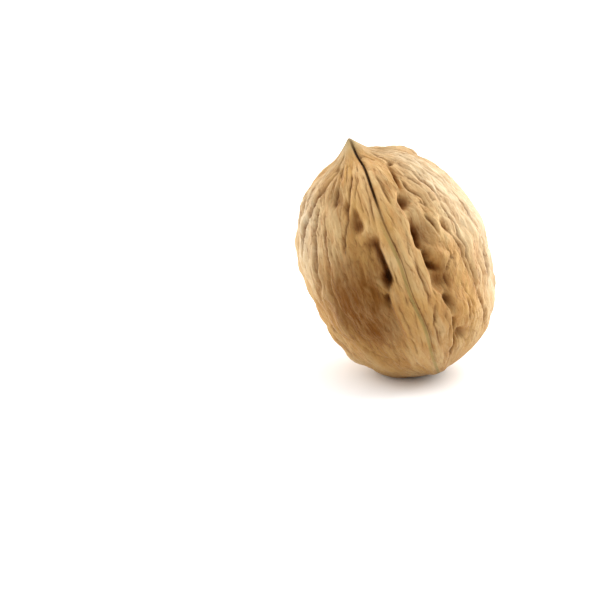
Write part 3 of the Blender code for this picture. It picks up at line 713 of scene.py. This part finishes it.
def grid_places(columns, rings):
    """Where each face corner of the closed grid lies on a flat square, in the order of grid_faces: across
    it by column and down it by ring, with each pole's corners in the middle of their face's edge."""
    column, ring = np.meshgrid(np.arange(columns), np.arange(rings - 1), indexing="ij")
    left, right = column / columns, (column + 1) / columns
    upper, lower = 1 - (ring + 1) / (rings + 1), 1 - (ring + 2) / (rings + 1)
    quads = np.stack([left, upper, left, lower, right, lower, right, upper], -1).reshape(-1, 2)
    left, right = left[:, 0], right[:, 0]
    middle, edge, inset = (left + right) / 2, np.ones(columns), np.full(columns, 1 / (rings + 1))
    fan = np.stack([middle, edge, left, 1 - inset, right, 1 - inset], -1).reshape(-1, 2)
    end_fan = np.stack([middle, 0 * edge, right, inset, left, inset], -1).reshape(-1, 2)
    return np.concatenate([fan, quads, end_fan])


def make_shell(form):
    """The shell's mesh: the surface on a grid of turns and polar angles, leant over, with whatever comes
    below the floor pressed flat on it, and with what its finish reads."""
    surface = ShellSurface(form)
    turn = np.linspace(-np.pi, np.pi, COLUMNS, endpoint=False)
    turn = turn - SEAM_CROWDING * np.sin(2 * turn)
    polar = np.pi * (np.arange(1, RINGS + 1) / (RINGS + 1)) ** TIP_CROWDING
    turns, polars = np.meshgrid(turn, polar, indexing="ij")
    turns = np.concatenate([[0.0], turns.ravel(), [0.0]])
    polars = np.concatenate([[POLE_ANGLE], polars.ravel(), [np.pi - POLE_ANGLE]])
    points, read_by_finish, grain = surface.finished(polars, turns)
    stand = np.array(standing_matrix(form.body_length, form.heart_height))
    placed = points @ stand[:3, :3].T + stand[:3, 3]
    placed[:, 2] = np.maximum(placed[:, 2], 0)
    mesh = bpy.data.meshes.new("walnut_shell_surface")
    mesh.from_pydata(placed, [], grid_faces(COLUMNS, RINGS))
    for name, values in read_by_finish.items():
        mesh.attributes.new(name, "FLOAT", "POINT").data.foreach_set("value", values.astype(np.float32))
    places = mesh.attributes.new("grain", "FLOAT_VECTOR", "POINT")
    places.data.foreach_set("vector", grain.astype(np.float32).ravel())
    mesh.uv_layers.new(name="OFBake").data.foreach_set("uv", grid_places(COLUMNS, RINGS).ravel())
    mesh.shade_smooth()
    return mesh


class NodeDesk:
    """Builds one node tree, a node at a time."""

    def __init__(self, tree):
        self.tree = tree

    def put(self, kind, **settings):
        node = self.tree.nodes.new(kind)
        for name, value in settings.items():
            setattr(node, name, value)
        return node

    def feed(self, socket, value):
        """Joins a socket to another one, or sets it to a plain value."""
        if isinstance(value, bpy.types.NodeSocket):
            self.tree.links.new(value, socket)
        else:
            socket.default_value = value

    def attribute(self, name, output="Fac"):
        return self.put("ShaderNodeAttribute", attribute_name=name).outputs[output]

    def noise(self, place, scale, detail, roughness, distortion=0.0):
        node = self.put("ShaderNodeTexNoise")
        self.feed(node.inputs["Vector"], place)
        settings = {"Scale": scale, "Detail": detail, "Roughness": roughness, "Distortion": distortion}
        for name, value in settings.items():
            node.inputs[name].default_value = value
        return node.outputs["Fac"]

    def spread(self, value, low, high, least=0.0, most=1.0, smooth=False):
        """Takes low to high and maps it to least to most, evenly or with soft ends."""
        node = self.put("ShaderNodeMapRange", interpolation_type="SMOOTHSTEP" if smooth else "LINEAR")
        self.feed(node.inputs["Value"], value)
        for name, number in (("From Min", low), ("From Max", high), ("To Min", least), ("To Max", most)):
            node.inputs[name].default_value = number
        return node.outputs["Result"]

    def maths(self, operation, first, second=0.0):
        node = self.put("ShaderNodeMath", operation=operation)
        self.feed(node.inputs[0], first)
        self.feed(node.inputs[1], second)
        return node.outputs["Value"]

    def hairlines(self, noise, half_width):
        """Thin lines where a noise crosses its middle value: 1 on the line, 0 beyond its half width."""
        off_middle = self.maths("ABSOLUTE", self.maths("SUBTRACT", noise, 0.5))
        return self.spread(off_middle, 0.0, half_width, 1.0, 0.0, smooth=True)

    def mix(self, share, first, second):
        node = self.put("ShaderNodeMix", data_type="RGBA")
        self.feed(node.inputs["Factor"], share)
        for name, colour in (("A", first), ("B", second)):
            socket = next(one for one in node.inputs if one.name == name and one.type == "RGBA")
            self.feed(socket, colour if isinstance(colour, bpy.types.NodeSocket) else (*colour, 1))
        return next(one for one in node.outputs if one.type == "RGBA")

    def stretched(self, place, scale):
        node = self.put("ShaderNodeMapping")
        self.feed(node.inputs["Vector"], place)
        node.inputs["Scale"].default_value = scale
        return node.outputs["Vector"]

    def bump(self, height, strength, distance, under=None):
        node = self.put("ShaderNodeBump")
        self.feed(node.inputs["Height"], height)
        node.inputs["Strength"].default_value = strength
        node.inputs["Distance"].default_value = distance
        if under:
            self.feed(node.inputs["Normal"], under)
        return node.outputs["Normal"]


def new_material(name):
    """A material, its node desk and its Principled BSDF."""
    material = bpy.data.materials.new(name)
    material.use_nodes = True
    return material, NodeDesk(material.node_tree), material.node_tree.nodes["Principled BSDF"]


def skin_colour(desk, finish, patches, streaks, mottle):
    """Tan ribs with straw patches, rosy streaks and a brown mottle, with a painted highlight on their
    crests, and over them the bleached patches, partly a painted rim highlight on the cheeks, and the stains,
    one a painted shadow."""
    colour = desk.mix(desk.spread(patches, *STRAW_SHOWS), finish.tan, finish.straw)
    colour = desk.mix(desk.spread(streaks, *ROSY_SHOWS), colour, finish.rosy)
    colour = desk.mix(desk.spread(mottle, *MOTTLE_SHOWS), colour, finish.hollow)
    # A painted highlight on the ribs' tops.
    colour = desk.mix(desk.maths("MULTIPLY", desk.attribute("crest_highlight"), CREST_HIGHLIGHT_SHARE), colour, finish.crest_highlight)
    # Bleached patches, partly a painted rim highlight on the cheeks.
    bleach_and_rim_highlight = desk.maths("MULTIPLY", desk.attribute("bleach_and_rim_highlight"), desk.spread(streaks, *BLEACH_AND_RIM_HIGHLIGHT_IN_STREAKS))
    colour = desk.mix(bleach_and_rim_highlight, colour, finish.bleach_and_rim_highlight)
    # Stains, partly a painted shadow over the lower left.
    stain_and_shadow = desk.maths("MULTIPLY", desk.attribute("stain_and_shadow"), desk.spread(streaks, *STAIN_AND_SHADOW_IN_STREAKS))
    return desk.mix(stain_and_shadow, colour, finish.stain_and_shadow)


def paint_sunk_shade_and_hairs(desk, finish, colour, mottle, hairs):
    """Painted shade: brown in the hollows and moats, nearly black where they are deepest, and dark in the
    creases and rib valleys, which the mottle breaks; then the hairs.
    """
    hollow = desk.attribute("hollow")
    # Painted shade in the hollows, nearly black where they are deepest.
    colour = desk.mix(desk.spread(hollow, *HOLLOW_SHADE_SHOWS), colour, finish.hollow)
    colour = desk.mix(desk.spread(hollow, *DEEPEST_SHADE_SHOWS), colour, finish.groove)
    # Painted shade in the creases and the ribs' valleys.
    crease = desk.spread(desk.attribute("crease"), *CREASE_SHADE_SHOWS)
    crease = desk.maths("MULTIPLY", crease, desk.spread(mottle, *CREASE_SHADE_IN_MOTTLE))
    colour = desk.mix(crease, colour, finish.crease)
    return desk.mix(desk.maths("MULTIPLY", hairs, HAIR_SHARE), colour, finish.hair)


def colour_seam_and_tip(desk, finish, colour):
    """An olive thread along the lower seam, the beak's own colour, and a painted shade in the groove,
    near-black where it is open, half as strong below, and faint over the beak."""
    height, across, tip = (desk.attribute(name) for name in ("height", "across", "tip"))
    off_thread = desk.maths("ABSOLUTE", desk.maths("ADD", across, THREAD_BESIDE_SEAM))
    thread = desk.spread(off_thread, *THREAD_SHOWS, smooth=True)
    thread = desk.maths("MULTIPLY", thread, desk.spread(height, *THREAD_BY_HEIGHT))
    colour = desk.mix(desk.maths("MULTIPLY", thread, THREAD_SHARE), colour, finish.olive)
    colour = desk.mix(desk.spread(tip, *TIP_SHOWS), colour, finish.tip)
    widths_off = desk.maths("DIVIDE", desk.maths("ABSOLUTE", across), desk.spread(height, *GROOVE_SHADE_WIDENS))
    # Painted shade in the seam's groove.
    groove = desk.spread(widths_off, *GROOVE_SHADE_SHOWS, smooth=True)
    for followed, shows in ((height, GROOVE_SHADE_BY_HEIGHT), (height, GROOVE_SHADE_OFF_BASE), (tip, GROOVE_SHADE_ON_TIP)):
        groove = desk.maths("MULTIPLY", groove, desk.spread(followed, *shows))
    return desk.mix(groove, colour, finish.groove)


def skin_bumps(desk, grain, hairs):
    """The skin's finest relief: hairs cut in, wrinkles and pores."""
    normal = desk.bump(desk.maths("MULTIPLY", hairs, -1.0), *HAIR_BUMP)
    wrinkles = desk.noise(desk.stretched(grain, WRINKLE_STRETCH), *WRINKLES)
    normal = desk.bump(wrinkles, *WRINKLE_BUMP, normal)
    return desk.bump(desk.noise(grain, *PORES), *PORE_BUMP, normal)


def shell_material(finish):
    """Dry, matt nutshell, with painted shade in its hollows, creases and groove and painted highlights on
    its rib tops and cheeks.
    """
    material, desk, surface = new_material("dry_nutshell")
    grain = desk.attribute("grain", "Vector")
    patches, mottle = desk.noise(grain, *PATCHES), desk.noise(grain, *MOTTLE)
    streaks = desk.noise(desk.stretched(grain, STREAK_STRETCH), *STREAKS)
    hairs = desk.hairlines(desk.noise(desk.stretched(grain, HAIR_STRETCH), *HAIRS), HAIR_HALF_WIDTH)
    hairs = desk.maths("MULTIPLY", hairs, desk.spread(streaks, *HAIRS_IN_STREAKS))
    colour = skin_colour(desk, finish, patches, streaks, mottle)
    colour = paint_sunk_shade_and_hairs(desk, finish, colour, mottle, hairs)
    colour = colour_seam_and_tip(desk, finish, colour)
    desk.feed(surface.inputs["Base Color"], colour)
    roughness = desk.spread(streaks, *ROUGHENS, finish.roughness, finish.roughness + ROUGHNESS_VARIES)
    desk.feed(surface.inputs["Roughness"], roughness)
    surface.inputs["Specular IOR Level"].default_value = finish.gloss
    surface.inputs["Sheen Weight"].default_value = finish.sheen
    surface.inputs["Sheen Roughness"].default_value = SHEEN_ROUGHNESS
    desk.feed(surface.inputs["Normal"], skin_bumps(desk, grain, hairs))
    return material


def plain_material(name, colour, roughness):
    material, _, surface = new_material(name)
    surface.inputs["Base Color"].default_value = (*colour, 1)
    surface.inputs["Roughness"].default_value = roughness
    return material


def link(made):
    bpy.context.scene.collection.objects.link(made)
    return made


def make_floor(stage):
    """A level square, wide enough that the camera sees no edge."""
    half = stage.floor_width / 2
    mesh = bpy.data.meshes.new("studio_floor")
    corners = [(-half, -half, 0), (half, -half, 0), (half, half, 0), (-half, half, 0)]
    mesh.from_pydata(corners, [], [(0, 1, 2, 3)])
    mesh.materials.append(plain_material("pale_floor", stage.floor_colour, FLOOR_ROUGHNESS))
    return link(bpy.data.objects.new("studio_floor", mesh))


def make_softbox(name, place, target, width, power):
    """A square light at place, turned to target."""
    light = bpy.data.lights.new(name, "AREA")
    light.shape = "SQUARE"
    light.size = width
    light.energy = power
    softbox = bpy.data.objects.new(name, light)
    softbox.location = place
    softbox.rotation_euler = (Vector(target) - Vector(place)).to_track_quat("-Z", "Y").to_euler()
    return link(softbox)


def make_sky(front, back):
    """Light from all round, stronger from behind the walnut than from the camera's side."""
    world = bpy.data.worlds.new("white_tent")
    world.use_nodes = True
    desk = NodeDesk(world.node_tree)
    direction = desk.put("ShaderNodeSeparateXYZ")
    desk.feed(direction.inputs["Vector"], desk.put("ShaderNodeTexCoord").outputs["Generated"])
    background = world.node_tree.nodes["Background"]
    background.inputs["Color"].default_value = (1, 1, 1, 1)
    strength = desk.spread(direction.outputs["Y"], *SKY_BRIGHTENS, front, back)
    desk.feed(background.inputs["Strength"], strength)
    bpy.context.scene.world = world


def make_camera(stage, heart):
    """A camera at the photograph's height angle, aimed beside and below the walnut's middle, so that the
    walnut shows where the photograph has it."""
    data = bpy.data.cameras.new("photo_camera")
    data.sensor_width = SENSOR_WIDTH
    data.clip_start = NEAREST_SEEN
    pixels_away = FRAME_PIXELS / (2 * math.tan(stage.field_of_view / 2))
    data.angle = stage.field_of_view
    to_right = (HEART_PIXEL[0] - FRAME_PIXELS / 2) * stage.camera_distance / pixels_away
    to_top = (FRAME_PIXELS / 2 - HEART_PIXEL[1]) * stage.camera_distance / pixels_away
    camera = bpy.data.objects.new("photo_camera", data)
    camera.rotation_euler = (math.pi / 2 - stage.camera_elevation, 0, 0)
    right, top, backward = (Vector(column) for column in camera.rotation_euler.to_matrix().transposed())
    camera.location = heart - to_right * right - to_top * top + stage.camera_distance * backward
    bpy.context.scene.camera = link(camera)


def setting(name, description, default, kind=bpy.props.FloatProperty, **limits):
    return kind(name=name, description=description, default=default, **limits)


def length_setting(name, description, default):
    return setting(name, description, default, unit="LENGTH")


def colour_setting(name, description, default):
    return setting(name, description, default, bpy.props.FloatVectorProperty, subtype="COLOR")


def share_setting(name, description, default, most=1):
    return setting(name, description, default, min=0, max=most)


def strength_setting(name, description, default, unit="NONE"):
    return setting(name, description, default, min=0, unit=unit)


def angle_setting(name, description, degrees):
    return setting(name, description, math.radians(degrees), unit="ROTATION")


class WalnutForm(bpy.types.PropertyGroup):
    """Sizes of the shell, in metres."""

    body_length: length_setting("Body Length", "From base to tip, without the beak", 0.0415)
    side_radius: length_setting("Cheek Radius", "From the axis out to a cheek", 0.0159)
    front_radius: length_setting("Seam Radius", "From the axis out to the seam, under its band", 0.0156)
    tip_rise: length_setting("Beak", "How far the beak stands above the body", 0.0026)
    heart_height: length_setting("Middle Height", "The body's middle above the floor", 0.0196)
    band_rise: length_setting("Seam Band", "How far the band on the seam stands out", 0.00125)
    groove_width: length_setting("Groove Width", "Half width of the seam's groove", 0.0003)
    groove_depth: length_setting("Groove Depth", "Depth of the open part of the groove", 0.001)
    ribbing: share_setting("Ribbing", "Depth of the ribs, as a share of the real ones", 1.0, 2)


class WalnutFinish(bpy.types.PropertyGroup):
    """Colours and gloss of the shell."""

    tan: colour_setting("Ribs", "Colour of the ribs", (0.5, 0.29, 0.095))
    straw: colour_setting("Pale Patches", "Colour of the paler patches", (0.57, 0.385, 0.175))
    rosy: colour_setting("Streaks", "Colour of the warm streaks", (0.43, 0.205, 0.07))
    # The hollows' painted shade, and also the brown of the mottle.
    hollow: colour_setting("Hollows", "Colour deep in the hollows", (0.18, 0.055, 0.005))
    # The stains, one of them a painted shadow over the lower left.
    stain_and_shadow: colour_setting("Stains", "Colour of the brown stains", (0.14, 0.046, 0.002))
    # The bleached patches, partly a painted rim highlight on the cheeks.
    bleach_and_rim_highlight: colour_setting("Bleached", "Colour of the bleached patches", (0.65, 0.55, 0.39))
    # The painted shade in the creases.
    crease: colour_setting("Creases", "Colour in the creases", (0.14, 0.048, 0.01))
    # The painted highlight on the ribs' tops.
    crest_highlight: colour_setting("Crests", "Colour on top of the ribs", (0.6, 0.435, 0.215))
    hair: colour_setting("Fine Lines", "Colour of the finest lines", (0.24, 0.095, 0.025))
    # The groove's painted shade, also used deepest in the hollows.
    groove: colour_setting("Groove", "Colour in the seam's open groove", (0.07, 0.03, 0.008))
    olive: colour_setting("Olive Thread", "Colour along the lower seam", (0.25, 0.19, 0.06))
    tip: colour_setting("Tip", "Colour of the beak", (0.5, 0.36, 0.165))
    roughness: share_setting("Roughness", "Least roughness of the shell", 0.5)
    gloss: share_setting("Gloss", "Strength of the shell's reflections", 0.1)
    sheen: share_setting("Sheen", "Pale bloom where the shell turns away", 0.1)


class WalnutStage(bpy.types.PropertyGroup):
    """Floor, lights and camera."""

    floor_width: length_setting("Floor Width", "Side of the square floor", 4.0)
    floor_colour: colour_setting("Floor", "Colour of the floor", (0.9, 0.9, 0.9))
    front_light: strength_setting("Light In Front", "Even light from the camera's side", 0.3)
    back_light: strength_setting("Light Behind", "Even light from behind", 2.0)
    key_power: strength_setting("Key Light", "Power of the light above", 1.1, "POWER")
    rim_power: strength_setting("Side Lights", "Power of each light behind and beside", 1.6, "POWER")
    camera_elevation: angle_setting("Camera Height Angle", "How far the camera looks down", 20)
    camera_distance: length_setting("Camera Distance", "From the camera to the walnut's middle", 0.4)
    field_of_view: angle_setting("Field of View", "Width of the camera's view", 14.92)


class WALNUT_OT_shell(bpy.types.Operator):
    """Make the walnut's shell with its finish"""

    bl_idname = "walnut.shell"
    bl_label = "Make Shell"

    def execute(self, context):
        mesh = make_shell(context.scene.walnut_form)
        mesh.materials.append(shell_material(context.scene.walnut_finish))
        shell = link(bpy.data.objects.new("walnut_shell_surface", mesh))
        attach(shell, "root")
        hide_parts("walnut_shell")
        return {"FINISHED"}


class WALNUT_OT_stage(bpy.types.Operator):
    """Make the floor, the lights and the camera"""

    bl_idname = "walnut.stage"
    bl_label = "Make Stage"

    def execute(self, context):
        stage = context.scene.walnut_stage
        heart = Vector((0, 0, context.scene.walnut_form.heart_height))
        make_floor(stage)
        make_softbox("key_softbox", KEY_PLACE, heart, KEY_WIDTH, stage.key_power)
        make_softbox("right_softbox", RIGHT_PLACE, heart, SIDE_WIDTH, stage.rim_power)
        make_softbox("left_softbox", LEFT_PLACE, heart, SIDE_WIDTH, stage.rim_power)
        make_sky(stage.front_light, stage.back_light)
        make_camera(stage, heart)
        context.scene.view_settings.view_transform = "Standard"
        return {"FINISHED"}


class WALNUT_PT_panel(bpy.types.Panel):
    """Walnut"""

    bl_idname = "WALNUT_PT_panel"
    bl_label = "Walnut"
    bl_space_type = "VIEW_3D"
    bl_region_type = "UI"
    bl_category = "Walnut"

    def draw(self, context):
        for operator, group in (
            ("walnut.shell", context.scene.walnut_form),
            (None, context.scene.walnut_finish),
            ("walnut.stage", context.scene.walnut_stage),
        ):
            box = self.layout.box()
            for name in group.__annotations__:
                box.prop(group, name)
            if operator:
                box.operator(operator)


GROUPS = {"walnut_form": WalnutForm, "walnut_finish": WalnutFinish, "walnut_stage": WalnutStage}
CLASSES = (*GROUPS.values(), WALNUT_OT_shell, WALNUT_OT_stage, WALNUT_PT_panel)


def register():
    for kind in CLASSES:
        bpy.utils.register_class(kind)
    for name, group in GROUPS.items():
        setattr(bpy.types.Scene, name, bpy.props.PointerProperty(type=group))


def unregister():
    for name in GROUPS:
        delattr(bpy.types.Scene, name)
    for kind in reversed(CLASSES):
        bpy.utils.unregister_class(kind)


def main():
    register()
    bpy.ops.walnut.shell()
    bpy.ops.walnut.stage()


if __name__ == "__main__":
    main()
